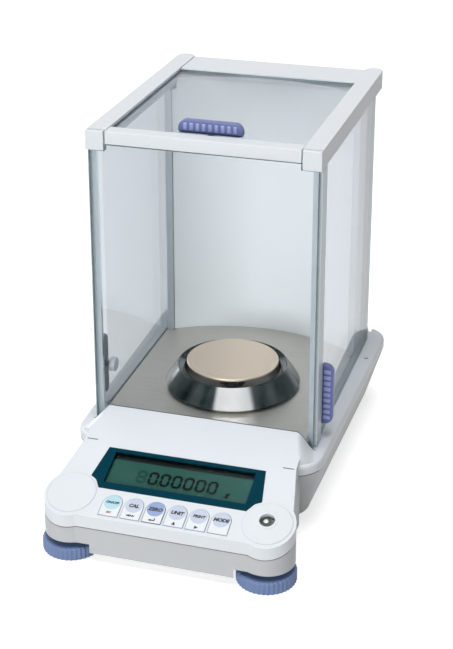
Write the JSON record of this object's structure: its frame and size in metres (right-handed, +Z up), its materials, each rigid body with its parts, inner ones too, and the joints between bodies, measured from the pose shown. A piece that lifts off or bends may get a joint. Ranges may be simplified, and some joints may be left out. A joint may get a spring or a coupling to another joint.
{
  "type": "semi-micro balance",
  "caption": "Bench balance with a sloping key and display console, glass draft shield with sliding doors, round pan in a draft ring and levelling feet.",
  "frame": {"origin": "centre of the footprint on the bench top", "axes": "+X to the user's right, +Y towards the rear, +Z up"},
  "size_m": [0.2114, 0.3484, 0.3175],
  "materials": {
    "cover_white": "fine satin white plastic, slightly cool",
    "case_grey": "fine satin light warm grey plastic",
    "bezel_teal": "satin dark teal plastic",
    "clear_window": "clear, smooth",
    "display_green": "dark grey-green display glass",
    "key_white": "satin white with light blue outlines",
    "circuit_board": "green board lacquer",
    "foot_blue": "satin slate blue plastic",
    "grip_blue": "satin periwinkle blue plastic",
    "foot_rubber": "matt black rubber",
    "plain_steel": "turned steel",
    "brushed_steel": "brushed stainless steel",
    "pan_steel": "fine satin stainless steel",
    "polished_steel": "polished stainless steel",
    "post_aluminium": "satin anodised",
    "cast_aluminium": "as cast",
    "coil_copper": "enamelled copper winding",
    "black_plastic": "satin black plastic",
    "wall_white": "smooth satin white plastic",
    "shield_glass": "clear polished glass with green edges"
  },
  "bodies": {
    "base": {"upper_cover": "cover_white", "lower_case": "case_grey", "display_bezel": "bezel_teal", "display_window": "clear_window", "display_module": "display_green", "control_board": "circuit_board", "level_lens": "clear_window", "level_cup": "black_plastic", "left_rear_foot": "foot_rubber", "right_rear_foot": "foot_rubber", "left_side_rail": "cover_white", "right_side_rail": "cover_white", "left_corner_cap": "cover_white", "right_corner_cap": "cover_white", "front_rail": "cover_white", "rear_bridge": "cover_white", "left_front_post": "post_aluminium", "right_front_post": "post_aluminium", "left_rear_column": "post_aluminium", "right_rear_column": "post_aluminium", "front_glass": "shield_glass", "floor_plate": "brushed_steel", "rear_wall": "wall_white", "rear_housing": "cover_white", "chassis": "cast_aluminium", "main_board": "circuit_board", "cell_block": "post_aluminium", "cell_beam": "post_aluminium", "magnet_pot": "plain_steel", "coil": "coil_copper", "load_carrier": "post_aluminium", "lifter_motor": "plain_steel", "serial_port": "plain_steel", "power_jack": "black_plastic"},
    "left_door": {"left_door_glass": "shield_glass", "left_door_grip": "grip_blue", "left_door_nut": "cover_white"},
    "right_door": {"right_door_glass": "shield_glass", "right_door_grip": "grip_blue", "right_door_nut": "cover_white"},
    "top_door": {"top_door_glass": "shield_glass", "top_door_grip": "grip_blue", "top_door_nut": "cover_white"},
    "first_key": {"key_1": "key_white"},
    "second_key": {"key_2": "key_white"},
    "third_key": {"key_3": "key_white"},
    "fourth_key": {"key_4": "key_white"},
    "fifth_key": {"key_5": "key_white"},
    "sixth_key": {"key_6": "key_white"},
    "left_screw": {"left_foot_screw": "plain_steel"},
    "left_wheel": {"left_foot_wheel": "foot_blue"},
    "right_screw": {"right_foot_screw": "plain_steel"},
    "right_wheel": {"right_foot_wheel": "foot_blue"},
    "weighing_pan": {"pan": "pan_steel", "pan_support": "post_aluminium"},
    "ring": {"draft_ring": "polished_steel"},
    "cam": {"lifter_cam": "black_plastic"},
    "lifter": {"weight_lifter": "black_plastic"},
    "weight": {"adjustment_weight": "plain_steel"}
  },
  "joints": [
    {"name": "left_door_slide", "type": "slide", "parent": "base", "child": "left_door", "axis": [0, 1, 0], "range_m": [0, 0.13]},
    {"name": "right_door_slide", "type": "slide", "parent": "base", "child": "right_door", "axis": [0, 1, 0], "range_m": [0, 0.13]},
    {"name": "top_door_slide", "type": "slide", "parent": "base", "child": "top_door", "axis": [0, 1, 0], "range_m": [0, 0.15]},
    {"name": "key_1_press", "type": "slide", "parent": "base", "child": "first_key", "axis": [0, 0.3289, -0.9444], "range_m": [0, 0.0008], "stiffness_N_per_m": 1500},
    {"name": "key_2_press", "type": "slide", "parent": "base", "child": "second_key", "axis": [0, 0.3289, -0.9444], "range_m": [0, 0.0008], "stiffness_N_per_m": 1500},
    {"name": "key_3_press", "type": "slide", "parent": "base", "child": "third_key", "axis": [0, 0.3289, -0.9444], "range_m": [0, 0.0008], "stiffness_N_per_m": 1500},
    {"name": "key_4_press", "type": "slide", "parent": "base", "child": "fourth_key", "axis": [0, 0.3289, -0.9444], "range_m": [0, 0.0008], "stiffness_N_per_m": 1500},
    {"name": "key_5_press", "type": "slide", "parent": "base", "child": "fifth_key", "axis": [0, 0.3289, -0.9444], "range_m": [0, 0.0008], "stiffness_N_per_m": 1500},
    {"name": "key_6_press", "type": "slide", "parent": "base", "child": "sixth_key", "axis": [0, 0.3289, -0.9444], "range_m": [0, 0.0008], "stiffness_N_per_m": 1500},
    {"name": "left_foot_height", "type": "slide", "parent": "base", "child": "left_screw", "axis": [0, 0, 1], "range_m": [-0.003, 0.003]},
    {"name": "left_wheel_turn", "type": "hinge", "parent": "left_screw", "child": "left_wheel", "pos_m": [-0.078, -0.151, 0.005], "axis": [0, 0, 1], "range_deg": [-870, 870]},
    {"name": "right_foot_height", "type": "slide", "parent": "base", "child": "right_screw", "axis": [0, 0, 1], "range_m": [-0.003, 0.003]},
    {"name": "right_wheel_turn", "type": "hinge", "parent": "right_screw", "child": "right_wheel", "pos_m": [0.078, -0.151, 0.005], "axis": [0, 0, 1], "range_deg": [-870, 870]},
    {"name": "pan_lift", "type": "slide", "parent": "base", "child": "weighing_pan", "axis": [0, 0, 1], "range_m": [0, 0.06]},
    {"name": "ring_lift", "type": "slide", "parent": "base", "child": "ring", "axis": [0, 0, 1], "range_m": [0, 0.05]},
    {"name": "cam_turn", "type": "hinge", "parent": "base", "child": "cam", "pos_m": [0, -0.0258, 0.03], "axis": [1, 0, 0], "range_deg": [0, 180]},
    {"name": "lifter_drop", "type": "slide", "parent": "base", "child": "lifter", "axis": [0, 0, -1], "range_m": [0, 0.0035]},
    {"name": "weight_drop", "type": "slide", "parent": "base", "child": "weight", "axis": [0, 0, -1], "range_m": [0, 0.0025]}
  ],
  "couplings": [
    {"joint": "left_wheel_turn", "follows": "left_foot_height", "rad_per_m": -5026.5},
    {"joint": "right_wheel_turn", "follows": "right_foot_height", "rad_per_m": -5026.5},
    {"joint": "cam_turn", "follows": "weight_drop", "rad_per_m": 1256.6},
    {"joint": "lifter_drop", "follows": "weight_drop", "ratio": 1.4}
  ]
}
